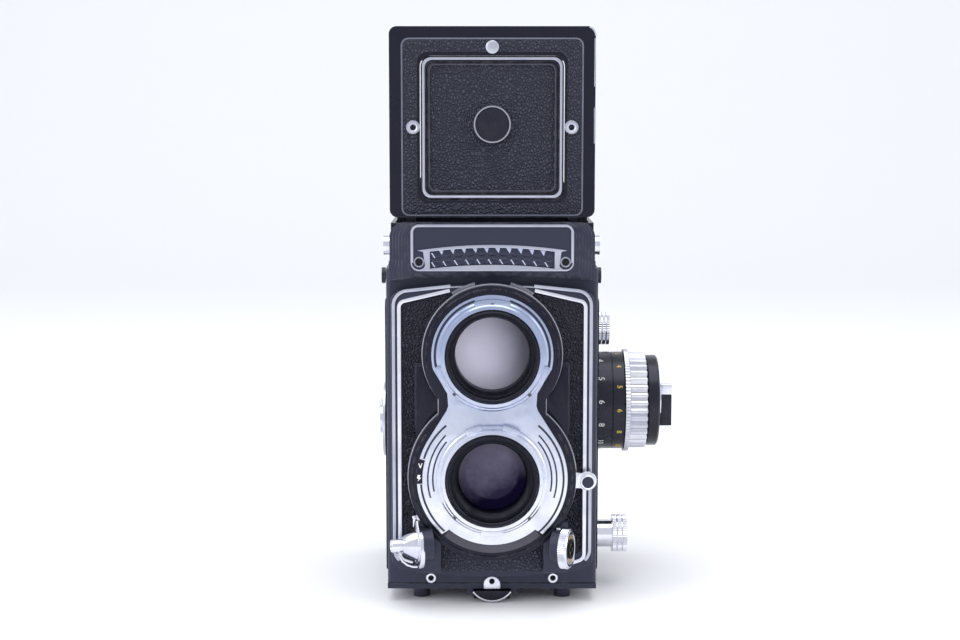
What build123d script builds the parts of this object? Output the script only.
from build123d import *
import math
import os

os.makedirs("parts", exist_ok=True)

# Twin lens reflex camera, millimetres.
# +Z up, the lenses look along -Y, +X is the focus-knob side.
# The origin is the mouth of the tripod socket, level with the soles of the feet.

# ---- driving dimensions ----
BODY_W = 72.0            # body width, without knobs
LENS_GAP = 42.0          # taking axis to viewing axis
TAKE_Z = 45.5            # taking axis above the ground
BODY_DEPTH = 70.0        # body casting, front wall to rear edge
FOOT_H = 4.5             # feet below the base plate
WALL = 1.7               # casting wall
GEAR_GAP = 2.0           # side cavity for gears and cam
PLATE_T = 1.0            # inner side plates
GATE = 56.0              # picture gate
FOCUS_TRAVEL = 6.8       # forward travel of the lens standard
FOCUS_TURN = 270.0       # knob turn for that travel

# ---- clearances ----
GAP = 0.3                # between pieces that move apart
RUN = 0.05               # radial, journals
PANEL = 0.8              # hood sheet

# ---- derived ----
HALF = BODY_W / 2
SHELL_IN = HALF - WALL
PLATE_OUT = SHELL_IN - GEAR_GAP
PLATE_IN = PLATE_OUT - PLATE_T
VIEW_Z = TAKE_Z + LENS_GAP
FRONT = -BODY_DEPTH / 2 - 1.0
REAR = FRONT + BODY_DEPTH
DOOR_T = 1.8
BASE_TOP = FOOT_H + DOOR_T
SHELL_BOT = BASE_TOP + GAP
SHELL_TOP = VIEW_Z + 30.5
DOOR_FACE = REAR + 6.0
BOARD_Y = FRONT - 7.0            # front face of the lens board
BOARD_BACK = FRONT - GAP
BOARD_HALF = HALF - 1.8
BOARD_BOT = TAKE_Z - 35.0
BOARD_TOP = VIEW_Z + 23.3
HOUSING_Y = BOARD_Y - 4.2
PLATE_Y = HOUSING_Y - 1.0
GATE_Y = REAR - 2.5              # front face of the film gate plate


def block(x, y, z, mode=Mode.ADD):
    """Box between three (low, high) pairs."""
    with Locations(((x[0] + x[1]) / 2, (y[0] + y[1]) / 2, (z[0] + z[1]) / 2)):
        Box(x[1] - x[0], y[1] - y[0], z[1] - z[0], mode=mode)


def rod_x(y, z, x0, x1, r, mode=Mode.ADD):
    """Cylinder along X."""
    with Locations(Location(((x0 + x1) / 2, y, z), (0, 90, 0))):
        Cylinder(r, abs(x1 - x0), mode=mode)


def rod_y(x, z, y0, y1, r, mode=Mode.ADD):
    """Cylinder along Y."""
    with Locations(Location((x, (y0 + y1) / 2, z), (90, 0, 0))):
        Cylinder(r, abs(y1 - y0), mode=mode)


def rod_z(x, y, z0, z1, r, mode=Mode.ADD):
    """Cylinder along Z."""
    with Locations((x, y, (z0 + z1) / 2)):
        Cylinder(r, abs(z1 - z0), mode=mode)


def figure_eight(r_low, r_high, waist, blend):
    """Two circles about the lens axes joined by a straight waist, filleted."""
    with Locations((0, TAKE_Z)):
        Circle(r_low)
    with Locations((0, VIEW_Z)):
        Circle(r_high)
    with Locations((0, (TAKE_Z + VIEW_Z) / 2)):
        Rectangle(2 * waist, LENS_GAP)


def save(piece, name):
    """Label and write one node."""
    piece.part.label = name
    export_step(piece.part, "parts/" + name + ".step")


# =====================================================================
# Body casting
# =====================================================================
SKIRT_X = PLATE_IN + 0.4
SKIRT_LOW = TAKE_Z - 29.5
SKIRT_HIGH = VIEW_Z + 18.5
FOCUS_Z = TAKE_Z + 19.0
SHAFT_R = 3.0
CRANK_Y = -2.0
CRANK_Z = TAKE_Z + 12.5
TAKEUP_Y = 20.0
TAKEUP_Z = CRANK_Z + 30.0
FEED_Y = -15.0
FEED_Z = BASE_TOP + 12.7
KNOB_R = 2.5
COUNT_Y = -18.0
COUNT_Z = VIEW_Z + 9.8

with BuildPart() as body_shell:
    with BuildSketch(Plane.XY.offset(SHELL_BOT)):
        with Locations((0, (FRONT + REAR) / 2)):
            RectangleRounded(BODY_W, BODY_DEPTH, 1.6)
    extrude(amount=SHELL_TOP - SHELL_BOT)
    # shoulders lean in above the strap lugs
    block((-HALF - 1, -HALF + 1), (FRONT - 1, REAR + 1), (SHELL_TOP - 2.5, SHELL_TOP + 1), Mode.SUBTRACT)
    block((HALF - 1, HALF + 1), (FRONT - 1, REAR + 1), (SHELL_TOP - 2.5, SHELL_TOP + 1), Mode.SUBTRACT)
    # one big light chamber, open above, behind and below
    block((-SHELL_IN, SHELL_IN), (FRONT + 2.5, REAR + 1), (SHELL_BOT - 1, SHELL_TOP + 1), Mode.SUBTRACT)
    # window for the skirt of the lens standard
    block((-SKIRT_X - GAP, SKIRT_X + GAP), (FRONT - 1, FRONT + 3), (SKIRT_LOW - GAP, SKIRT_HIGH + GAP),
          Mode.SUBTRACT)
    # rear bridge that carries the door hinge
    block((-SHELL_IN, SHELL_IN), (REAR - 3, REAR), (SHELL_TOP - 5, SHELL_TOP))
    for side in (-1, 1):
        block((side * 22 - 4, side * 22 + 4), (REAR, REAR + 4.6), (SHELL_TOP - 2.4, SHELL_TOP + 0.6))
    rod_x(REAR + 3.2, SHELL_TOP - 0.9, -26, 26, 1.0)
    # shaft holes, focus side
    rod_x(0, FOCUS_Z, SHELL_IN - 1, HALF + 1, SHAFT_R + RUN, Mode.SUBTRACT)
    rod_x(TAKEUP_Y, TAKEUP_Z, SHELL_IN - 1, HALF + 1, KNOB_R + RUN, Mode.SUBTRACT)
    rod_x(FEED_Y, FEED_Z, SHELL_IN - 1, HALF + 1, KNOB_R + RUN, Mode.SUBTRACT)
    # shaft hole and counter window, crank side
    rod_x(CRANK_Y, CRANK_Z, -HALF - 1, -SHELL_IN + 1, SHAFT_R + RUN, Mode.SUBTRACT)
    rod_x(COUNT_Y, COUNT_Z, -HALF - 1, -SHELL_IN + 1, 1.9, Mode.SUBTRACT)
    # raised ring round the crank
    rod_x(CRANK_Y, CRANK_Z, -HALF - 1.6, -HALF, 16.0)
    rod_x(CRANK_Y, CRANK_Z, -HALF - 2.6, -HALF - 0.6, 13.8, Mode.SUBTRACT)
    rod_x(CRANK_Y, CRANK_Z, -HALF - 1, -SHELL_IN + 1, SHAFT_R + RUN, Mode.SUBTRACT)
    # strap lugs: a disc on a neck each side
    for side in (-1, 1):
        rod_x(4, SHELL_TOP - 8.6, side * (HALF - 0.5), side * (HALF + 1.0), 3.6)
        rod_x(4, SHELL_TOP - 8.6, side * (HALF + 0.5), side * (HALF + 2.4), 1.6)
        rod_x(4, SHELL_TOP - 8.6, side * (HALF + 2.2), side * (HALF + 3.5), 2.9)
save(body_shell, "body_shell")

# ---- inner frame: side plates, film gate, light baffle, mirror cradle ----
ROLL_LOW_Z = TAKE_Z - GATE / 2 - 6.0
ROLL_HIGH_Z = TAKE_Z + GATE / 2 + 5.5
ROLL_Y = REAR - 3.2
ROLL_R = 2.2
JOURNAL = 1.0
BAFFLE_FRONT = FRONT + 12.0
MIRROR_LEN = 70.0
mirror_plane = Plane(origin=(0, -1.0, VIEW_Z + 1.0), x_dir=(1, 0, 0), z_dir=(0, -1, 1))
with BuildPart() as inner_frame:
    for side in (-1, 1):
        block(sorted((side * PLATE_IN, side * PLATE_OUT)), (FRONT + 12.5, REAR - 0.8),
              (SHELL_BOT + 1.5, SHELL_TOP - 5.5))
        # feet that reach the casting, top and bottom
        for y in (FRONT + 16, REAR - 7):
            block(sorted((side * (PLATE_OUT - 0.2), side * SHELL_IN)), (y, y + 4), (SHELL_TOP - 9, SHELL_TOP - 5.5))
            block(sorted((side * (PLATE_OUT - 0.2), side * SHELL_IN)), (y, y + 4), (SHELL_BOT + 1.5, SHELL_BOT + 4))
    block((-PLATE_IN - 0.5, PLATE_IN + 0.5), (GATE_Y, GATE_Y + 1.5), (TAKE_Z - GATE / 2 - 3, TAKE_Z + GATE / 2 + 3))
    with BuildSketch(mirror_plane.offset(-1.8)):
        Rectangle(2 * PLATE_IN + 1, MIRROR_LEN - 16)
        Rectangle(2 * (PLATE_IN - 9), MIRROR_LEN - 30, mode=Mode.SUBTRACT)
    extrude(amount=-1.0)
    with BuildSketch(Plane.XZ.offset(-BAFFLE_FRONT)):
        with Locations((0, TAKE_Z)):
            Rectangle(20, 20)
    with BuildSketch(Plane.XZ.offset(-GATE_Y - 0.5)):
        with Locations((0, TAKE_Z)):
            Rectangle(GATE + 2, GATE + 2)
    loft()
    with BuildSketch(Plane.XZ.offset(-BAFFLE_FRONT)):
        with Locations((0, TAKE_Z)):
            Rectangle(18, 18)
    with BuildSketch(Plane.XZ.offset(-GATE_Y - 1.5)):
        with Locations((0, TAKE_Z)):
            Rectangle(GATE, GATE)
    loft(mode=Mode.SUBTRACT)
    # bearings, focus side
    rod_x(0, FOCUS_Z, PLATE_IN - 1, PLATE_OUT + 1, SHAFT_R + RUN, Mode.SUBTRACT)
    rod_x(FEED_Y, FEED_Z, PLATE_IN - 1, PLATE_OUT + 1, KNOB_R + RUN, Mode.SUBTRACT)
    rod_x(TAKEUP_Y, TAKEUP_Z, PLATE_IN - 1, PLATE_OUT + 1, KNOB_R + RUN, Mode.SUBTRACT)
    # bearings, crank side
    rod_x(CRANK_Y, CRANK_Z, -PLATE_OUT - 1, -PLATE_IN + 1, 2.0 + RUN, Mode.SUBTRACT)
    rod_x(TAKEUP_Y, TAKEUP_Z, -PLATE_OUT - 1, -PLATE_IN + 1, KNOB_R + RUN, Mode.SUBTRACT)
    for z in (ROLL_LOW_Z, ROLL_HIGH_Z):
        rod_x(ROLL_Y, z, -PLATE_OUT - 1, PLATE_OUT + 1, JOURNAL + RUN, Mode.SUBTRACT)
save(inner_frame, "inner_frame")

ROLL_HALF = PLATE_IN - GAP
for word, z in (("lower", ROLL_LOW_Z), ("upper", ROLL_HIGH_Z)):
    with BuildPart() as roller:
        rod_x(ROLL_Y, z, -ROLL_HALF, ROLL_HALF, ROLL_R)
        rod_x(ROLL_Y, z, -PLATE_OUT + 0.05, PLATE_OUT - 0.05, JOURNAL)
    save(roller, "film_roller_" + word)

# ---- mirror, at 45 degrees under the screen ----
with BuildPart() as reflex_mirror:
    with BuildSketch(mirror_plane):
        Rectangle(2 * (PLATE_IN - 3.5), MIRROR_LEN)
    extrude(amount=-1.8)
save(reflex_mirror, "reflex_mirror")

# ---- leather on both sides, counter glass ----
with BuildPart() as side_leathers:
    for side in (-1, 1):
        with BuildSketch(Plane.YZ.offset(side * HALF)):
            with Locations(((FRONT + REAR) / 2, (SHELL_BOT + SHELL_TOP - 10) / 2)):
                RectangleRounded(BODY_DEPTH - 5, SHELL_TOP - SHELL_BOT - 17, 3)
            if side > 0:
                with Locations((0, FOCUS_Z)):
                    Circle(18.6, mode=Mode.SUBTRACT)
                with Locations((TAKEUP_Y, TAKEUP_Z), (FEED_Y, FEED_Z)):
                    Circle(6.9, mode=Mode.SUBTRACT)
            else:
                with Locations((CRANK_Y, CRANK_Z)):
                    Circle(16.3, mode=Mode.SUBTRACT)
                with Locations((COUNT_Y, COUNT_Z)):
                    Circle(4.0, mode=Mode.SUBTRACT)
        extrude(amount=side * 0.5)
save(side_leathers, "side_leathers")

with BuildPart() as counter_window:
    rod_x(COUNT_Y, COUNT_Z, -HALF - 0.7, -HALF, 3.4)
    rod_x(COUNT_Y, COUNT_Z, -HALF - 0.1, -SHELL_IN - 0.2, 1.9)
save(counter_window, "counter_window")

# =====================================================================
# Nameplate housing with the light-meter window
# =====================================================================
NAME_LOW = SHELL_TOP - 6.3
NAME_HIGH = SHELL_TOP + 13.3
NAME_HALF = HALF - 1.4
NAME_Y = FRONT - 4.4
with BuildPart() as nameplate_housing:
    with BuildSketch(Plane.XZ.offset(-FRONT)):
        with BuildLine():
            edge = ThreePointArc((-NAME_HALF, NAME_LOW), (0, NAME_LOW + 1.3), (NAME_HALF, NAME_LOW))
            Line(edge @ 1, (NAME_HALF, NAME_HIGH - 5))
            turn = RadiusArc((NAME_HALF, NAME_HIGH - 5), (NAME_HALF - 5, NAME_HIGH), -5)
            Line(turn @ 1, (-NAME_HALF + 5, NAME_HIGH))
            turn2 = RadiusArc((-NAME_HALF + 5, NAME_HIGH), (-NAME_HALF, NAME_HIGH - 5), -5)
            Line(turn2 @ 1, (-NAME_HALF, NAME_LOW))
        make_face()
    extrude(amount=FRONT - NAME_Y)
    # cell pocket and sockets
    block((-21.5, 21.5), (NAME_Y - 1, NAME_Y + 2.4), (NAME_LOW + 4.8, NAME_LOW + 10.6), Mode.SUBTRACT)
    for side in (-1, 1):
        rod_y(side * 24.6, NAME_LOW + 6.4, NAME_Y - 1, NAME_Y + 1.5, 1.9, Mode.SUBTRACT)
save(nameplate_housing, "nameplate_housing")

with BuildPart() as nameplate_trim:
    with BuildSketch(Plane.XZ.offset(-NAME_Y)):
        with Locations((0, NAME_LOW + 11.3)):
            RectangleRounded(54.8, 15.8, 3.5)
            RectangleRounded(52.4, 13.4, 2.5, mode=Mode.SUBTRACT)
        with Locations((-24.6, NAME_LOW + 6.4), (24.6, NAME_LOW + 6.4)):
            Circle(2.4, mode=Mode.SUBTRACT)
    extrude(amount=0.5)
save(nameplate_trim, "nameplate_trim")

with BuildPart() as meter_window:
    block((-21.5, 21.5), (NAME_Y, NAME_Y + 2.4), (NAME_LOW + 4.8, NAME_LOW + 10.6))
    block((-21.0, 21.0), (NAME_Y - 0.5, NAME_Y + 0.1), (NAME_LOW + 5.0, NAME_LOW + 10.4))
save(meter_window, "meter_window")

# ---- ring studs in the nameplate and low on the front, and the latch hook ----
with BuildPart() as front_fittings:
    for side in (-1, 1):
        rod_y(side * 24.6, NAME_LOW + 6.4, NAME_Y - 0.7, NAME_Y + 1.5, 1.9)
        rod_y(side * 24.6, NAME_LOW + 6.4, NAME_Y - 1.7, NAME_Y + 0.5, 1.1, Mode.SUBTRACT)
        rod_y(side * 21, SHELL_BOT + 1.9, FRONT - 1.2, FRONT, 1.9)
        rod_y(side * 21, SHELL_BOT + 1.9, FRONT - 2.2, FRONT - 0.2, 0.9, Mode.SUBTRACT)
    with BuildSketch(Plane.XZ.offset(-FRONT)):
        with Locations((0, SHELL_BOT + 0.15)):
            RectangleRounded(5.9, 4.3, 1.4)
        with Locations((0, SHELL_BOT + 0.6)):
            Circle(0.95, mode=Mode.SUBTRACT)
    extrude(amount=1.1)
save(front_fittings, "front_fittings")

# =====================================================================
# Hood: base frame, screen, folding walls, lid with finder flap
# =====================================================================
HOOD_X = HALF - 1.8
HOOD_IN = HOOD_X - 1.4
HOOD_FRONT = FRONT
HOOD_REAR = FRONT + 68.5
HOOD_TOP = SHELL_TOP + 13.0
SIDE_X = HALF - 4.0
SIDE_Z = {-1: SHELL_TOP + 6.0, 1: SHELL_TOP + 9.2}
BACK_Y = FRONT + 63.3
BACK_Z = SHELL_TOP + 14.3
LID_Y = FRONT + 6.0
LID_Z = SHELL_TOP + 19.0
PIN_R = 0.5
CATCH_Z = SHELL_TOP + 2.6

with BuildPart() as hood_base:
    block((-HOOD_X, HOOD_X), (HOOD_FRONT, HOOD_REAR), (SHELL_TOP, HOOD_TOP))
    block((-HOOD_IN, HOOD_IN), (HOOD_FRONT + 1.6, HOOD_REAR - 1.5), (SHELL_TOP + 1.2, HOOD_TOP + 1), Mode.SUBTRACT)
    block((-27, 27), (FRONT + 9, FRONT + 62), (SHELL_TOP - 1, SHELL_TOP + 2), Mode.SUBTRACT)
    for side in (-1, 1):
        # post and bore for the lid
        block(sorted((side * (HALF - 10), side * (HALF - 7))), (HOOD_FRONT + 1, LID_Y + 1.6),
              (SHELL_TOP + 1, HOOD_TOP))
        block(sorted((side * (HALF - 10), side * (HALF - 7))), (LID_Y - 1.6, LID_Y + 1.6), (HOOD_TOP, LID_Z + 1.6))
        rod_x(LID_Y, LID_Z, side * (HALF - 11), side * (HALF - 6), 1.0 + RUN, Mode.SUBTRACT)
        # lugs for the side wall
        z = SIDE_Z[side]
        for low, high in ((LID_Y - 1.0, LID_Y + 1.7), (BACK_Y - 1.0, BACK_Y + 1.7)):
            block(sorted((side * (SIDE_X - 1.1), side * (HOOD_IN + 0.2))), (low, high), (SHELL_TOP + 1, z + 1.1))
        rod_y(side * SIDE_X, z, LID_Y - 2, BACK_Y + 3, PIN_R + RUN, Mode.SUBTRACT)
        # lugs for the rear wall
        block(sorted((side * (HALF - 7.2), side * (HALF - 5))), (BACK_Y - 0.8, HOOD_REAR - 1),
              (SHELL_TOP + 10, BACK_Z + 0.9))
        rod_x(BACK_Y, BACK_Z, side * (HALF - 8), side * (HALF - 4), PIN_R + RUN, Mode.SUBTRACT)
    for side in (-1, 1):
        rod_x(0, CATCH_Z, side * (HOOD_IN - 1), side * (HOOD_X + 1), 1.2 + RUN, Mode.SUBTRACT)
save(hood_base, "hood_base")

with BuildPart() as focusing_screen:
    block((-29, 29), (FRONT + 8.0, FRONT + 62), (SHELL_TOP + 1.2, SHELL_TOP + 2.7))
save(focusing_screen, "focusing_screen")
SIDE_H = 35.0
for side, word in ((-1, "left"), (1, "right")):
    z = SIDE_Z[side]
    with BuildPart() as hood_side:
        with BuildSketch(Plane.YZ.offset(side * SIDE_X - PANEL / 2)):
            with BuildLine():
                Polyline((LID_Y + 2.0, z), (LID_Y + 2.0, z + 11), (LID_Y + 8.5, z + 20), (LID_Y + 14, z + 25),
                         (LID_Y + 22, z + SIDE_H), (BACK_Y - 25.3, z + SIDE_H), (BACK_Y - 16.3, z + 25),
                         (BACK_Y - 8.3, z + 15), (BACK_Y - 3.3, z + 8), (BACK_Y - 2.3, z), close=True)
            make_face()
        extrude(amount=PANEL)
        rod_y(side * SIDE_X, z, LID_Y + 2.0, BACK_Y - 1.3, 0.75)
        rod_y(side * SIDE_X, z, LID_Y - 0.7, BACK_Y + 1.5, PIN_R)
    save(hood_side, "hood_side_" + word)

BACK_H = 30.0
with BuildPart() as hood_back:
    with BuildSketch(Plane.XZ.offset(-(BACK_Y - PANEL / 2))):
        with BuildLine():
            Polyline((-28.3, BACK_Z), (-28.3, BACK_Z + 7), (-17, BACK_Z + BACK_H), (17, BACK_Z + BACK_H),
                     (28.3, BACK_Z + 7), (28.3, BACK_Z), close=True)
        make_face()
        with Locations((0, BACK_Z + 22)):
            Circle(4.5, mode=Mode.SUBTRACT)
    extrude(amount=-PANEL)
    rod_x(BACK_Y, BACK_Z, -28.3, 28.3, 0.75)
    rod_x(BACK_Y, BACK_Z, -HALF + 5.2, HALF - 5.2, PIN_R)
save(hood_back, "hood_back")

LID_OUT = LID_Y - 4.5
LID_IN = LID_OUT + 1.2
LID_HALF = HALF - 1.4
LID_LOW = LID_Z - 4.2
LID_HIGH = LID_Z + 59.6
FLAP_HALF = 24.0
FLAP_LOW = LID_Z + 1.9
FLAP_HIGH = LID_Z + 49.5
FLAP_PIN_Z = FLAP_HIGH - 0.5
FLAP_PIN_Y = LID_IN + 1.0
with BuildPart() as lid_frame:
    with BuildSketch(Plane.XZ.offset(-LID_IN)):
        with Locations((0, (LID_LOW + LID_HIGH) / 2)):
            RectangleRounded(2 * LID_HALF, LID_HIGH - LID_LOW, 2.6)
        with Locations((0, (FLAP_LOW + FLAP_HIGH) / 2)):
            RectangleRounded(2 * FLAP_HALF + 2 * GAP, FLAP_HIGH - FLAP_LOW + 2 * GAP, 3.5, mode=Mode.SUBTRACT)
    extrude(amount=LID_IN - LID_OUT)
    for side in (-1, 1):
        block(sorted((side * (LID_HALF - 1.4), side * LID_HALF)), (LID_OUT, LID_OUT + 8), (LID_Z + 1.5, LID_HIGH - 2.6))
        block(sorted((side * (HALF - 6.7), side * (HALF - 5))), (LID_IN - 0.2, LID_Y + 1.5), (LID_Z - 1.5, LID_Z + 1.5))
        rod_x(LID_Y, LID_Z, side * (HALF - 9.8), side * (HALF - 5.5), 1.0)
        block(sorted((side * (FLAP_HALF + 0.5), side * (FLAP_HALF + 3))), (LID_IN - 0.2, FLAP_PIN_Y + 1.2),
              (FLAP_PIN_Z - 1.5, FLAP_PIN_Z + 1.5))
        rod_x(FLAP_PIN_Y, FLAP_PIN_Z, side * (FLAP_HALF + 0.2), side * (FLAP_HALF + 3.5), PIN_R + RUN, Mode.SUBTRACT)
    block((-LID_HALF + 2.6, LID_HALF - 2.6), (LID_OUT, LID_OUT + 8), (LID_HIGH - 1.4, LID_HIGH))
save(lid_frame, "lid_frame")

with BuildPart() as lid_leather:
    with BuildSketch(Plane.XZ.offset(-LID_OUT)):
        with Locations((0, (LID_LOW + LID_HIGH) / 2 - 1.7)):
            RectangleRounded(61.2, LID_HIGH - LID_LOW - 4.2, 2.5)
        with Locations((0, (FLAP_LOW + FLAP_HIGH) / 2)):
            RectangleRounded(2 * FLAP_HALF + 2.4, FLAP_HIGH - FLAP_LOW + 2.4, 3.9, mode=Mode.SUBTRACT)
    extrude(amount=0.4)
save(lid_leather, "lid_leather")

with BuildPart() as lid_rivets:
    for x, z, r in ((-26.6, LID_Z + 26, 2.3), (26.6, LID_Z + 26, 2.3), (0, LID_Z + 52.7, 2.15)):
        rod_y(x, z, LID_OUT - 1.1, LID_OUT - 0.4, r)
        if x:
            rod_y(x, z, LID_OUT - 2.1, LID_OUT - 0.6, 1.0, Mode.SUBTRACT)
save(lid_rivets, "lid_rivets")

MAG_Y = LID_IN + 1.7
MAG_PIN_Z = LID_Z + 43.0
with BuildPart() as finder_flap:
    with BuildSketch(Plane.XZ.offset(-(LID_IN - 0.2))):
        with Locations((0, (FLAP_LOW + FLAP_HIGH) / 2)):
            RectangleRounded(2 * FLAP_HALF, FLAP_HIGH - FLAP_LOW, 3.3)
    extrude(amount=0.8)
    block((-FLAP_HALF + 3, FLAP_HALF - 3), (LID_IN - 0.3, FLAP_PIN_Y), (FLAP_PIN_Z - 0.6, FLAP_PIN_Z + 0.4))
    rod_x(FLAP_PIN_Y, FLAP_PIN_Z, -FLAP_HALF, FLAP_HALF, 0.8)
    rod_x(FLAP_PIN_Y, FLAP_PIN_Z, -FLAP_HALF - 2.8, FLAP_HALF + 2.8, PIN_R)
    for side in (-1, 1):
        block(sorted((side * 7, side * 9)), (LID_IN - 0.3, MAG_Y + 1.0), (MAG_PIN_Z - 1.3, MAG_PIN_Z + 1.3))
        rod_x(MAG_Y, MAG_PIN_Z, side * 6, side * 10, PIN_R + RUN, Mode.SUBTRACT)
    # bright rim round the leather
    with BuildSketch(Plane.XZ.offset(-(LID_IN - 1.0))):
        with Locations((0, (FLAP_LOW + FLAP_HIGH) / 2)):
            RectangleRounded(2 * FLAP_HALF - 0.4, FLAP_HIGH - FLAP_LOW - 0.4, 3.2)
            RectangleRounded(2 * FLAP_HALF - 3.4, FLAP_HIGH - FLAP_LOW - 3.4, 2.3, mode=Mode.SUBTRACT)
    extrude(amount=0.7)
save(finder_flap, "finder_flap")

with BuildPart() as flap_leather:
    with BuildSketch(Plane.XZ.offset(-(LID_IN - 1.0))):
        with Locations((0, (FLAP_LOW + FLAP_HIGH) / 2)):
            RectangleRounded(2 * FLAP_HALF - 3.4, FLAP_HIGH - FLAP_LOW - 3.4, 2.3)
    extrude(amount=0.5)
save(flap_leather, "flap_leather")
with BuildPart() as medallion:
    rod_y(0, LID_Z + 27, LID_IN - 1.5, LID_IN - 2.6, 6.6)
    rod_y(0, LID_Z + 27, LID_IN - 2.3, LID_IN - 3.6, 5.6, Mode.SUBTRACT)
    rod_y(0, LID_Z + 27, LID_IN - 2.3, LID_IN - 2.7, 3.0)
save(medallion, "medallion")

MAG_Z = MAG_PIN_Z - 14.5
with BuildPart() as magnifier_frame:
    rod_y(0, MAG_Z, MAG_Y - 1.0, MAG_Y + 1.0, 12.8)
    block((-6.7, 6.7), (MAG_Y - 0.9, MAG_Y + 0.9), (MAG_Z + 8, MAG_PIN_Z + 0.9))
    rod_y(0, MAG_Z, MAG_Y - 2.0, MAG_Y + 2.0, 11.0, Mode.SUBTRACT)
    rod_x(MAG_Y, MAG_PIN_Z, -8.8, 8.8, PIN_R)
save(magnifier_frame, "magnifier_frame")
with BuildPart() as magnifier_lens:
    rod_y(0, MAG_Z, MAG_Y - 0.8, MAG_Y + 0.8, 11.0)
    with BuildSketch(Plane.YZ):
        with BuildLine():
            bow = ThreePointArc((MAG_Y + 0.8, MAG_Z + 10.5), (MAG_Y + 1.9, MAG_Z), (MAG_Y + 0.8, MAG_Z - 10.5))
            Line(bow @ 1, bow @ 0)
        make_face()
        with Locations((MAG_Y, MAG_Z - 10)):
            Rectangle(8, 20, mode=Mode.SUBTRACT)
    revolve(axis=Axis((0, MAG_Y, MAG_Z), (0, 1, 0)))
save(magnifier_lens, "magnifier_lens")

for side, word in ((-1, "left"), (1, "right")):
    with BuildPart() as hood_catch:
        rod_x(0, CATCH_Z, side * (HOOD_IN - 0.4), side * (HALF + 1), 1.2)
        rod_x(0, CATCH_Z, side * HALF, side * (HALF + 2.6), 3.5)
    save(hood_catch, "hood_catch_" + word)

# =====================================================================
# Back door with base plate, latch, feet, tripod bush
# =====================================================================
DOOR_HIGH = SHELL_TOP - 3.0
HINGE_Y = REAR + 3.2
HINGE_Z = SHELL_TOP - 0.9
BUSH_R = 9.0
TRIPOD_R = 3.175
BUSH_TOP = BASE_TOP + 1.2
with BuildPart() as back_panel:
    block((-HALF, HALF), (DOOR_FACE - DOOR_T, DOOR_FACE), (FOOT_H, DOOR_HIGH))
    for side in (-1, 1):
        block(sorted((side * (HALF - WALL), side * HALF)), (REAR + GAP, DOOR_FACE), (FOOT_H, DOOR_HIGH))
    block((-HALF, HALF), (REAR + GAP, DOOR_FACE), (DOOR_HIGH - WALL, DOOR_HIGH))
    fillet(back_panel.edges().filter_by(Axis.Z).group_by(Axis.Y)[-1], 2.0)
    # hinge knuckle between the ears of the casting
    block((-17.6, 17.6), (HINGE_Y - 1.5, HINGE_Y + 1.5), (DOOR_HIGH - 1, HINGE_Z))
    rod_x(HINGE_Y, HINGE_Z, -17.6, 17.6, 1.5)
    rod_x(HINGE_Y, HINGE_Z, -18, 18, 1.0 + RUN, Mode.SUBTRACT)
    # exposure table plate on the back
    with BuildSketch(Plane.XZ.offset(-DOOR_FACE)):
        with Locations((0, TAKE_Z + 12)):
            RectangleRounded(46, 40, 2)
    extrude(amount=-0.7)
# the base plate is screwed to the lower edge of the panel, between its flanges
with BuildPart() as base_plate:
    block((-HALF, HALF), (FRONT, REAR + GAP), (FOOT_H, BASE_TOP))
    block((-HALF + WALL, HALF - WALL), (REAR, DOOR_FACE - DOOR_T), (FOOT_H, BASE_TOP))
    rod_z(0, 0, FOOT_H - 1, BASE_TOP + 1, BUSH_R - 2, Mode.SUBTRACT)
    # feet
    for x in (-24.5, 24.5):
        for y in (FRONT + 8, REAR - 6):
            rod_z(x, y, 0, FOOT_H + 0.2, 2.8)
    # ears for the latch
    block((-8.6, 8.6), (FRONT + 0.6, FRONT + 6), (2.6, FOOT_H + 0.1))
    block((-6.6, 6.6), (FRONT - 1, FRONT + 5.4), (1.6, FOOT_H), Mode.SUBTRACT)
    rod_x(FRONT + 2.0, FOOT_H - 1.1, -9, 9, 0.6, Mode.SUBTRACT)
back_door = Compound(label="back_door", children=[back_panel.part, base_plate.part])
export_step(back_door, "parts/back_door.step")
with BuildPart() as back_leather:
    with BuildSketch(Plane.XZ.offset(-DOOR_FACE)):
        with Locations((0, (FOOT_H + DOOR_HIGH) / 2)):
            RectangleRounded(BODY_W - 7, DOOR_HIGH - FOOT_H - 7, 3)
        with Locations((0, TAKE_Z + 12)):
            RectangleRounded(46.6, 40.6, 2, mode=Mode.SUBTRACT)
    extrude(amount=-0.5)
save(back_leather, "back_leather")
with BuildPart() as pressure_plate:
    block((-PLATE_IN + 1, PLATE_IN - 1), (REAR - 0.6, REAR + 0.6), (TAKE_Z - 31, TAKE_Z + 31))
    # two bowed springs carry it on the door
    for x in (-16, 16):
        with BuildSketch(Plane.YZ.offset(x - 3)):
            with BuildLine():
                outer = ThreePointArc((REAR + 0.6, TAKE_Z - 26), (DOOR_FACE - 1.8, TAKE_Z), (REAR + 0.6, TAKE_Z + 26))
                Line(outer @ 1, (REAR + 0.6, TAKE_Z + 25))
                ThreePointArc((REAR + 0.6, TAKE_Z + 25), (DOOR_FACE - 2.2, TAKE_Z), (REAR + 0.6, TAKE_Z - 25))
                Line((REAR + 0.6, TAKE_Z - 25), outer @ 0)
            make_face()
        extrude(amount=6)
save(pressure_plate, "pressure_plate")

with BuildPart() as tripod_bush:
    rod_z(0, 0, 0, BUSH_TOP, BUSH_R - 2)
    rod_z(0, 0, 0, FOOT_H, BUSH_R)
    rod_z(0, 0, -1, BUSH_TOP + 1, TRIPOD_R, Mode.SUBTRACT)
save(tripod_bush, "tripod_bush")

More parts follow.
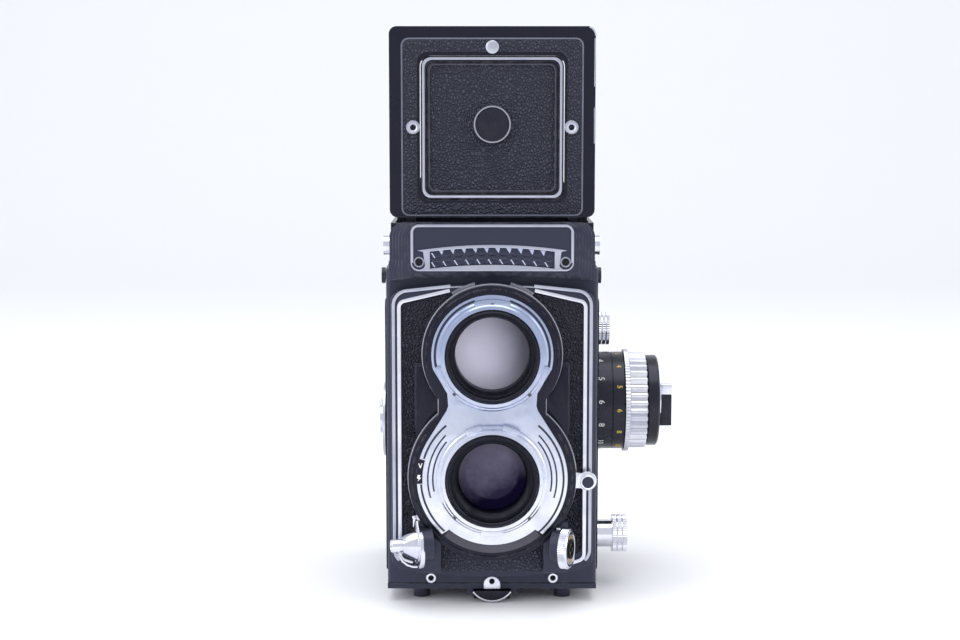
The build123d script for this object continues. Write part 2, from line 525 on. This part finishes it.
LATCH_Y = FRONT - 0.4
with BuildPart() as back_latch:
    with BuildSketch(Plane.XY.offset(0.6)):
        with BuildLine():
            bow = ThreePointArc((-7.2, FRONT - 0.6), (0, FRONT - 2.6), (7.2, FRONT - 0.6))
            Line(bow @ 1, (6.3, FRONT + 2.9))
            Line((6.3, FRONT + 2.9), (-6.3, FRONT + 2.9))
            Line((-6.3, FRONT + 2.9), bow @ 0)
        make_face()
    extrude(amount=1.0)
    with BuildSketch(Plane.XY.offset(0.6)):
        with BuildLine():
            bow2 = ThreePointArc((-7.2, FRONT - 0.6), (0, FRONT - 2.6), (7.2, FRONT - 0.6))
            Line(bow2 @ 1, (7.0, FRONT + 0.2))
            bow3 = ThreePointArc((7.0, FRONT + 0.2), (0, FRONT - 1.7), (-7.0, FRONT + 0.2))
            Line(bow3 @ 1, bow2 @ 0)
        make_face()
    extrude(amount=3.5)
    block((-6.3, 6.3), (FRONT + 1.2, FRONT + 2.8), (0.6, FOOT_H - 0.5))
    rod_x(FRONT + 2.0, FOOT_H - 1.1, -8.4, 8.4, 0.6 - RUN)
save(back_latch, "back_latch")

# =====================================================================
# Lens standard
# =====================================================================
RIM_R = 15.4
with BuildPart() as lens_board:
    with BuildSketch(Plane.XZ.offset(-BOARD_BACK)):
        with BuildLine():
            top = ThreePointArc((-BOARD_HALF, BOARD_TOP - 2.4), (0, BOARD_TOP), (BOARD_HALF, BOARD_TOP - 2.4))
            Line(top @ 1, (BOARD_HALF, BOARD_BOT + 3.2))
            low = ThreePointArc((BOARD_HALF, BOARD_BOT + 3.2), (0, BOARD_BOT), (-BOARD_HALF, BOARD_BOT + 3.2))
            Line(low @ 1, top @ 0)
        make_face()
    extrude(amount=BOARD_BACK - BOARD_Y)
    fillet(lens_board.edges().filter_by(Axis.Y), 3.4)
    block((-BOARD_HALF + 1.6, BOARD_HALF - 1.6), (BOARD_Y + 2.0, BOARD_BACK + 1), (BOARD_BOT + 4, BOARD_TOP - 4),
          Mode.SUBTRACT)
    # skirt that slides in the window of the casting
    block((-SKIRT_X, SKIRT_X), (BOARD_Y + 1.9, FRONT + 11), (SKIRT_LOW, SKIRT_HIGH))
    block((-SKIRT_X + 1.1, SKIRT_X - 1.1), (BOARD_Y + 2.0, FRONT + 12), (SKIRT_LOW + 1.1, SKIRT_HIGH - 1.1),
          Mode.SUBTRACT)
    # follower arm that rides on the focus cam
    block((PLATE_IN - 0.5, PLATE_OUT + 1.4), (FRONT + 9.8, FRONT + 11.8), (FOCUS_Z - 4, FOCUS_Z + 4))
    block((PLATE_OUT + 0.5, PLATE_OUT + 1.4), (FRONT + 9.8, -10.6), (FOCUS_Z - 2, FOCUS_Z + 2))
    rod_x(-10.0, FOCUS_Z, PLATE_OUT + 0.5, PLATE_OUT + 1.4, 2.0)
    rod_y(0, TAKE_Z, BOARD_Y - 1, BOARD_Y + 3, RIM_R, Mode.SUBTRACT)
    rod_y(0, VIEW_Z, BOARD_Y - 1, BOARD_Y + 3, RIM_R, Mode.SUBTRACT)
    # bright border strip, open at the top middle and at the foot
    with BuildSketch(Plane.XZ.offset(-BOARD_Y)):
        with Locations((0, (BOARD_BOT + BOARD_TOP) / 2 + 2.5)):
            RectangleRounded(2 * BOARD_HALF - 5.2, BOARD_TOP - BOARD_BOT - 9.5, 4)
            RectangleRounded(2 * BOARD_HALF - 7.2, BOARD_TOP - BOARD_BOT - 11.5, 3, mode=Mode.SUBTRACT)
        Rectangle(29, 400, mode=Mode.SUBTRACT)
        with Locations((0, BOARD_BOT + 7)):
            Rectangle(55, 10, mode=Mode.SUBTRACT)
    extrude(amount=0.5)
save(lens_board, "lens_board")

with BuildPart() as board_leather:
    with BuildSketch(Plane.XZ.offset(-BOARD_Y)):
        with Locations((0, (BOARD_BOT + BOARD_TOP) / 2 + 2.5)):
            RectangleRounded(2 * BOARD_HALF - 7.8, BOARD_TOP - BOARD_BOT - 12.1, 2.8)
        with Locations((0, TAKE_Z)):
            Circle(28.9, mode=Mode.SUBTRACT)
        with Locations((0, VIEW_Z)):
            Circle(24.0, mode=Mode.SUBTRACT)
        with Locations((0, (TAKE_Z + 18.0 + VIEW_Z - 3.7) / 2)):
            Rectangle(51.8, VIEW_Z - TAKE_Z - 21.7, mode=Mode.SUBTRACT)
        with Locations((-21.6, TAKE_Z - 23.75), (21.6, TAKE_Z - 23.75)):
            Rectangle(8.8, 18.1, mode=Mode.SUBTRACT)
        with Locations((0, BOARD_BOT + 5)):
            Rectangle(38, 12, mode=Mode.SUBTRACT)
    extrude(amount=0.35)
save(board_leather, "board_leather")
# ---- figure-eight housing with the lever groove ----
EV_R = 19.0
EV_TIP_X = 31.4
EV_TIP_R = 2.6
with BuildPart() as lens_housing:
    with BuildSketch(Plane.XZ.offset(-BOARD_Y)):
        figure_eight(28.3, 23.4, 18.0, 3.0)
    extrude(amount=BOARD_Y - HOUSING_Y)
    rod_y(0, TAKE_Z, BOARD_Y + 1, HOUSING_Y - 1, RIM_R, Mode.SUBTRACT)
    rod_y(0, VIEW_Z, BOARD_Y + 1, HOUSING_Y - 1, RIM_R, Mode.SUBTRACT)
    with BuildSketch(Plane.XZ.offset(-HOUSING_Y)):
        with Locations((0, TAKE_Z)):
            Circle(EV_R + 0.3)
            Circle(16.7, mode=Mode.SUBTRACT)
    extrude(amount=-3.0, mode=Mode.SUBTRACT)
    with BuildSketch(Plane.XZ.offset(-HOUSING_Y)):
        with BuildLine():
            CenterArc((0, TAKE_Z), 32, -40, 80)
            Line((32 * math.cos(math.radians(40)), TAKE_Z + 32 * math.sin(math.radians(40))), (0, TAKE_Z))
            Line((0, TAKE_Z), (32 * math.cos(math.radians(40)), TAKE_Z - 32 * math.sin(math.radians(40))))
        make_face()
        with Locations((0, TAKE_Z)):
            Circle(18.5, mode=Mode.SUBTRACT)
    extrude(amount=-1.4, mode=Mode.SUBTRACT)
    with BuildSketch(Plane.XZ.offset(-HOUSING_Y)):
        with BuildLine():
            CenterArc((0, TAKE_Z), 32, 183, 52)
            Line((32 * math.cos(math.radians(235)), TAKE_Z + 32 * math.sin(math.radians(235))), (0, TAKE_Z))
            Line((0, TAKE_Z), (32 * math.cos(math.radians(183)), TAKE_Z + 32 * math.sin(math.radians(183))))
        make_face()
        with Locations((0, TAKE_Z)):
            Circle(18.5, mode=Mode.SUBTRACT)
    extrude(amount=-3.0, mode=Mode.SUBTRACT)
save(lens_housing, "lens_housing")

with BuildPart() as face_plate:
    with BuildSketch(Plane.XZ.offset(-HOUSING_Y)):
        figure_eight(25.7, 20.3, 14.9, 2.5)
        with Locations((0, TAKE_Z), (0, VIEW_Z)):
            Circle(RIM_R, mode=Mode.SUBTRACT)
    extrude(amount=1.0)
save(face_plate, "face_plate")

with BuildPart() as ev_lever:
    with BuildSketch(Plane.XZ.offset(-HOUSING_Y - 0.2)):
        with Locations((0, TAKE_Z)):
            Circle(EV_R)
        with Locations(((17.3 + EV_TIP_X) / 2, TAKE_Z - 1.0)):
            Rectangle(EV_TIP_X - 17.3, 3.4)
        with Locations((EV_TIP_X, TAKE_Z - 0.6)):
            Circle(EV_TIP_R)
        with Locations((0, TAKE_Z)):
            Circle(17.0, mode=Mode.SUBTRACT)
    extrude(amount=-0.9)
    rod_y(EV_TIP_X, TAKE_Z - 0.6, HOUSING_Y - 1.0, HOUSING_Y + 0.5, EV_TIP_R)
    rod_y(EV_TIP_X, TAKE_Z - 0.6, HOUSING_Y - 2.0, HOUSING_Y - 0.4, EV_TIP_R - 0.6, Mode.SUBTRACT)
save(ev_lever, "ev_lever")
with BuildPart() as sync_lever:
    with BuildSketch(Plane.XZ.offset(-HOUSING_Y - 1.7)):
        with Locations((0, TAKE_Z)):
            Circle(EV_R)
        with Locations(Location((-24.5 * math.cos(math.radians(25)), TAKE_Z - 24.5 * math.sin(math.radians(25))),
                                (0, 0, 25))):
            Rectangle(13, 2.4)
        with Locations((0, TAKE_Z)):
            Circle(17.0, mode=Mode.SUBTRACT)
    extrude(amount=-0.9)
    with BuildSketch(Plane.XZ.offset(-HOUSING_Y - 1.7)):
        with Locations(Location((-30.2 * math.cos(math.radians(25)), TAKE_Z - 30.2 * math.sin(math.radians(25))),
                                (0, 0, 25))):
            Rectangle(1.6, 4.4)
    extrude(amount=2.0)
save(sync_lever, "sync_lever")

# ---- lens rims, bayonets and glass ----
RIM_Y = BOARD_Y - 10.0
SHUT_FRONT = BOARD_Y + 2.6
SHUT_REAR = BOARD_Y + 14.0
with BuildPart() as bayonet_rings:
    for z in (TAKE_Z, VIEW_Z):
        rod_y(0, z, PLATE_Y, PLATE_Y - 2.6, 17.2)
        rod_y(0, z, PLATE_Y - 2.6, PLATE_Y - 3.6, 16.6)
        with BuildSketch(Plane.XZ.offset(-PLATE_Y + 1.4)):
            with Locations((0, z)):
                with PolarLocations(17.0, 3, 90):
                    Circle(1.7)
        extrude(amount=1.2)
        rod_y(0, z, PLATE_Y + 1, PLATE_Y - 5, RIM_R, Mode.SUBTRACT)
save(bayonet_rings, "bayonet_rings")

with BuildPart() as viewing_barrel:
    rod_y(0, VIEW_Z, RIM_Y, BOARD_Y + 2, RIM_R)
    rod_y(0, VIEW_Z, BOARD_Y + 2, BOARD_Y + 17, 14.6)
    rod_y(0, VIEW_Z, RIM_Y - 1, RIM_Y + 2.4, 14.2, Mode.SUBTRACT)
    rod_y(0, VIEW_Z, RIM_Y + 2, RIM_Y + 6, 13.4, Mode.SUBTRACT)
    rod_y(0, VIEW_Z, RIM_Y + 2, BOARD_Y + 18, 12.4, Mode.SUBTRACT)
save(viewing_barrel, "viewing_barrel")
with BuildPart() as taking_barrel:
    rod_y(0, TAKE_Z, RIM_Y, SHUT_FRONT, RIM_R)
    rod_y(0, TAKE_Z, RIM_Y - 1, RIM_Y + 2.4, 14.0, Mode.SUBTRACT)
    rod_y(0, TAKE_Z, RIM_Y + 2, RIM_Y + 5.2, 12.6, Mode.SUBTRACT)
    rod_y(0, TAKE_Z, RIM_Y + 5, RIM_Y + 8, 11.4, Mode.SUBTRACT)
    rod_y(0, TAKE_Z, RIM_Y + 2, SHUT_FRONT + 1, 10.5, Mode.SUBTRACT)
save(taking_barrel, "taking_barrel")


def lens_element(z, y_mid, radius, edge, bulge_front, bulge_rear):
    """Round glass with a cylindrical edge and a spherical cap each way."""
    with BuildPart() as glass:
        with BuildSketch(Plane.YZ):
            with BuildLine():
                low = (y_mid - edge / 2, z)
                rim_a = (y_mid - edge / 2, z + radius)
                rim_b = (y_mid + edge / 2, z + radius)
                r1 = (radius ** 2 + bulge_front ** 2) / (2 * bulge_front)
                r2 = (radius ** 2 + bulge_rear ** 2) / (2 * bulge_rear)
                half = radius / 2
                mid_f = y_mid - edge / 2 - (math.sqrt(r1 ** 2 - half ** 2) - (r1 - bulge_front))
                mid_r = y_mid + edge / 2 + (math.sqrt(r2 ** 2 - half ** 2) - (r2 - bulge_rear))
                cap = ThreePointArc((y_mid - edge / 2 - bulge_front, z), (mid_f, z + half), rim_a)
                Line(rim_a, rim_b)
                cap2 = ThreePointArc(rim_b, (mid_r, z + half), (y_mid + edge / 2 + bulge_rear, z))
                Line(cap2 @ 1, cap @ 0)
            make_face()
        revolve(axis=Axis((0, y_mid, z), (0, 1, 0)))
    return glass


save(lens_element(VIEW_Z, RIM_Y + 13.0, 12.4, 2.0, 2.2, 1.4), "viewing_front_element")
save(lens_element(TAKE_Z, RIM_Y + 10.4, 10.5, 1.6, 2.0, 0.8), "taking_front_element")

# ---- leaf shutter behind the board ----
SHUT_R = 22.5
BLADE_PIVOT_X = 3.0
BLADE_PIVOT_Z = TAKE_Z + 14.0
with BuildPart() as shutter_housing:
    rod_y(0, TAKE_Z, SHUT_FRONT, SHUT_REAR - 2, SHUT_R)
    rod_y(0, TAKE_Z, SHUT_FRONT, SHUT_REAR + 3, 9.8)
    rod_y(0, TAKE_Z, SHUT_FRONT + 1.4, SHUT_REAR - 3.2, 21.2, Mode.SUBTRACT)
    rod_y(0, TAKE_Z, SHUT_FRONT - 1, SHUT_REAR + 4, 8.5, Mode.SUBTRACT)
    for side in (-1, 1):
        rod_y(side * BLADE_PIVOT_X, BLADE_PIVOT_Z, SHUT_FRONT + 1, SHUT_REAR - 3, 0.8)
save(shutter_housing, "shutter_housing")
for side, word, layer in ((-1, "left", 3.0), (1, "right", 4.2)):
    with BuildPart() as shutter_blade:
        with BuildSketch(Plane.XZ.offset(-(SHUT_FRONT + layer))):
            with Locations((0, TAKE_Z)):
                Circle(9.4)
            with Locations((side * (BLADE_PIVOT_X + 0.0), TAKE_Z + 10.5)):
                Rectangle(5.0, 9)
            with Locations((-side * 10.6, TAKE_Z)):
                Rectangle(20, 40, mode=Mode.SUBTRACT)
            with Locations((side * BLADE_PIVOT_X, BLADE_PIVOT_Z)):
                Circle(2.2)
                Circle(0.8 + RUN, mode=Mode.SUBTRACT)
        extrude(amount=-0.4)
    save(shutter_blade, "shutter_blade_" + word)
# ---- smooth fairings beside the housing; shutter release; flash socket ----
REL_Z = TAKE_Z - 22.1
REL_TILT = math.radians(14)
FLASH_Z = TAKE_Z - 22.8
FLASH_TILT = math.radians(18)
BOSS_X = 24.0                    # seats of the release and the flash socket
BOSS_Y = BOARD_Y - 6.2
COLLAR_R = 5.9
BOSS_R = COLLAR_R - 0.5
rel_plane = Plane(origin=(-BOSS_X, BOSS_Y, REL_Z), x_dir=(math.sin(REL_TILT), -math.cos(REL_TILT), 0),
                  z_dir=(-math.cos(REL_TILT), -math.sin(REL_TILT), 0))
flash_plane = Plane(origin=(BOSS_X, BOSS_Y, FLASH_Z), x_dir=(math.sin(FLASH_TILT), math.cos(FLASH_TILT), 0),
                    z_dir=(math.cos(FLASH_TILT), -math.sin(FLASH_TILT), 0))
with BuildPart() as fairings:
    for side in (-1, 1):
        block(sorted((side * 17.9, side * 25.7)), (BOARD_Y - 1.0, BOARD_Y), (TAKE_Z + 18.3, VIEW_Z - 4))
        block(sorted((side * 17.4, side * 25.6)), (BOARD_Y - 4.0, BOARD_Y), (TAKE_Z - 32.5, TAKE_Z - 15.0))
    # bosses behind the release and the flash socket
    with BuildSketch(rel_plane, flash_plane):
        Circle(BOSS_R)
    extrude(amount=-3.4)
    rod_y(0, TAKE_Z, BOARD_Y - 5, BOARD_Y + 1, 28.35, Mode.SUBTRACT)
    rod_y(0, VIEW_Z, BOARD_Y - 5, BOARD_Y + 1, 23.45, Mode.SUBTRACT)
    block((-18.05, 18.05), (BOARD_Y - 2, BOARD_Y + 1), (TAKE_Z, VIEW_Z), Mode.SUBTRACT)
    # seats for the release and the flash socket
    with BuildSketch(rel_plane, flash_plane):
        Circle(COLLAR_R + GAP)
    extrude(amount=12, mode=Mode.SUBTRACT)
save(fairings, "fairings")
with BuildPart() as release_collar:
    with BuildSketch(rel_plane):
        Circle(COLLAR_R)
    extrude(amount=1.4)
    with BuildSketch(rel_plane.offset(1.4)):
        Circle(4.9)
    extrude(amount=2.6, taper=24)
    with BuildSketch(rel_plane):
        Circle(2.2 + RUN)
    extrude(amount=5, mode=Mode.SUBTRACT)
save(release_collar, "release_collar")
with BuildPart() as release_button:
    with BuildSketch(rel_plane.offset(2.7)):
        Circle(2.2)
    extrude(amount=7.6)
    with BuildSketch(rel_plane.offset(6.4)):
        Circle(1.3)
    extrude(amount=5, mode=Mode.SUBTRACT)
save(release_button, "release_button")

with BuildPart() as flash_socket:
    with BuildSketch(flash_plane):
        Circle(COLLAR_R)
    extrude(amount=1.4)
    with BuildSketch(flash_plane.offset(1.4)):
        Circle(4.6)
    extrude(amount=2.8)
    with BuildSketch(flash_plane.offset(1.0)):
        Circle(3.2)
    extrude(amount=6, mode=Mode.SUBTRACT)
    with BuildSketch(flash_plane.offset(0.5)):
        Circle(0.8)
    extrude(amount=3.2)
save(flash_socket, "flash_socket")

# =====================================================================
# Focus side: knob, cam, exposure dial; spool knobs
# =====================================================================
DRUM_R = 17.5
SIDE_FACE = HALF + GAP
HUB_R = 6.0
with BuildPart() as focus_drum:
    rod_x(0, FOCUS_Z, SIDE_FACE, HALF + 11.2, DRUM_R)
    rod_x(0, FOCUS_Z, SIDE_FACE - 1, HALF + 10, DRUM_R - 1.5, Mode.SUBTRACT)
    rod_x(0, FOCUS_Z, SIDE_FACE, HALF + 11.2, SHAFT_R, Mode.SUBTRACT)
save(focus_drum, "focus_drum")
with BuildPart() as focus_grip:
    rod_x(0, FOCUS_Z, HALF + 11.2, HALF + 13.0, 18.4)
    rod_x(0, FOCUS_Z, HALF + 13.0, HALF + 19.2, 17.0)
    with BuildSketch(Plane.YZ.offset(HALF + 13.4)):
        with Locations((0, FOCUS_Z)):
            with PolarLocations(17.6, 36):
                Circle(1.0)
    extrude(amount=7, mode=Mode.SUBTRACT)
    rod_x(0, FOCUS_Z, HALF + 18.2, HALF + 23.2, HUB_R)
save(focus_grip, "focus_grip")
with BuildPart() as exposure_dial:
    rod_x(0, FOCUS_Z, HALF + 19.5, HALF + 23.5, 16.3)
    rod_x(0, FOCUS_Z, HALF + 23.5, HALF + 24.8, 6.9)
    rod_x(0, FOCUS_Z, HALF + 19.0, HALF + 23.2 + GAP, HUB_R + RUN, Mode.SUBTRACT)
    # finger tab
    block((HALF + 24.6, HALF + 29.2), (-1.4, 1.4), (FOCUS_Z - 9.3, FOCUS_Z + 6.0))
save(exposure_dial, "exposure_dial")
# Archimedean cam: its radius grows by the focus travel over the knob's turn
CAM_R0 = 10.0 - 2.0 - GAP
with BuildPart() as focus_shaft:
    with BuildSketch(Plane.YZ.offset(PLATE_OUT + 0.5)):
        with BuildLine():
            rim = []
            for step in range(28):
                turned = step / 27 * (FOCUS_TURN + 24) - 12
                share = min(max(turned / FOCUS_TURN, -0.02), 1.0)
                radius = CAM_R0 + FOCUS_TRAVEL * share
                angle = math.radians(180 - turned)
                rim.append((radius * math.cos(angle), FOCUS_Z + radius * math.sin(angle)))
            curve = Polyline(*rim)
            Line(curve @ 1, curve @ 0)
        make_face()
    extrude(amount=0.9)
    rod_x(0, FOCUS_Z, PLATE_IN + 0.1, HALF + 11.2, SHAFT_R)
save(focus_shaft, "focus_shaft")

SPOOL_END = PLATE_IN - GAP
with BuildPart() as upper_spool_knob:
    rod_x(TAKEUP_Y, TAKEUP_Z, SPOOL_END - 2.5, HALF + 0.6, KNOB_R)
    rod_x(TAKEUP_Y, TAKEUP_Z, HALF + 0.6, HALF + 7.8, 6.0)
save(upper_spool_knob, "upper_spool_knob")
with BuildPart() as lower_spool_knob:
    rod_x(FEED_Y, FEED_Z, SPOOL_END - 2.5, HALF + 0.6, KNOB_R)
    rod_x(FEED_Y, FEED_Z, HALF + 0.6, HALF + 6.6, 5.6)
    rod_x(FEED_Y, FEED_Z, HALF + 6.6, HALF + 12.0, 6.5)
save(lower_spool_knob, "lower_spool_knob")

# =====================================================================
# Crank side: crank, gears, take-up spool, frame counter
# =====================================================================
MODULE = 0.8
CRANK_TEETH = 53
SPOOL_TEETH = 40
GEAR_X0 = PLATE_OUT + 0.45
GEAR_X1 = SHELL_IN - 0.35


def gear(y, z, teeth, phase):
    """Spur gear in the crank-side cavity; phase is the angle of one tooth, in degrees."""
    pitch_r = MODULE * teeth / 2
    rim = []
    for tooth in range(teeth):
        mid = math.radians(phase + 360 * tooth / teeth)
        step = 2 * math.pi / teeth
        for share, rise in ((-0.33, -1.15), (-0.12, 0.75), (0.12, 0.75), (0.33, -1.15)):
            radius = pitch_r + rise * MODULE
            rim.append((y + radius * math.cos(mid + share * step), z + radius * math.sin(mid + share * step)))
    with BuildPart() as wheel:
        with BuildSketch(Plane.YZ.offset(-GEAR_X1)):
            with BuildLine():
                Polyline(*rim, close=True)
            make_face()
        extrude(amount=GEAR_X1 - GEAR_X0)
    return wheel


MESH = math.degrees(math.atan2(TAKEUP_Z - CRANK_Z, TAKEUP_Y - CRANK_Y))
takeup_gear = gear(TAKEUP_Y, TAKEUP_Z, SPOOL_TEETH, MESH + 180 + 180 / SPOOL_TEETH)
with takeup_gear:
    # key that drives the spool
    rod_x(TAKEUP_Y, TAKEUP_Z, -GEAR_X0 - 0.2, -SPOOL_END, KNOB_R - 0.5)
    rod_x(TAKEUP_Y, TAKEUP_Z, -PLATE_OUT - 0.1, -PLATE_IN - 0.02, KNOB_R)
save(takeup_gear, "takeup_gear")
with BuildPart() as takeup_spool:
    rod_x(TAKEUP_Y, TAKEUP_Z, -SPOOL_END, SPOOL_END, 4.5)
    rod_x(TAKEUP_Y, TAKEUP_Z, -SPOOL_END, -SPOOL_END + 0.8, 11.5)
    rod_x(TAKEUP_Y, TAKEUP_Z, SPOOL_END - 0.8, SPOOL_END, 11.5)
    rod_x(TAKEUP_Y, TAKEUP_Z, SPOOL_END - 3.2, SPOOL_END + 1, KNOB_R + RUN, Mode.SUBTRACT)
save(takeup_spool, "takeup_spool")
crank_hub = gear(CRANK_Y, CRANK_Z, CRANK_TEETH, MESH)
with crank_hub:
    # shaft and outer disc
    rod_x(CRANK_Y, CRANK_Z, -HALF - 2.6, -HALF - 0.9, 13.3)
    rod_x(CRANK_Y, CRANK_Z, -HALF - 1.0, -GEAR_X1 + 0.1, SHAFT_R)
    rod_x(CRANK_Y, CRANK_Z, -GEAR_X0 - 0.2, -PLATE_IN - 0.1, 2.0)
save(crank_hub, "crank_hub")
ARM_END = 25.0                   # the arm points to the rear at rest
HANDLE_Y = CRANK_Y + ARM_END
with BuildPart() as crank_arm:
    with BuildSketch(Plane.YZ.offset(-HALF - 2.6)):
        with Locations((CRANK_Y, CRANK_Z)):
            Circle(5.2)
        with Locations((CRANK_Y + ARM_END / 2, CRANK_Z)):
            Rectangle(ARM_END, 6.4)
        with Locations((HANDLE_Y, CRANK_Z)):
            Circle(3.9)
    extrude(amount=-1.3)
    for side in (-1, 1):
        block((-HALF - 4.9, -HALF - 3.8), (HANDLE_Y - 1.4, HANDLE_Y + 1.4),
              sorted((CRANK_Z + side * 2.4, CRANK_Z + side * 3.4)))
    rod_z(-HALF - 4.9, HANDLE_Y, CRANK_Z - 4, CRANK_Z + 4, PIN_R, Mode.SUBTRACT)
save(crank_arm, "crank_arm")
with BuildPart() as crank_handle:
    block((-HALF - 5.4, -HALF - 4.2), (HANDLE_Y - 11.5, HANDLE_Y + 0.5), (CRANK_Z - 2.1, CRANK_Z + 2.1))
    rod_z(-HALF - 4.9, HANDLE_Y, CRANK_Z - 3.3, CRANK_Z + 3.3, PIN_R - RUN)
save(crank_handle, "crank_handle")
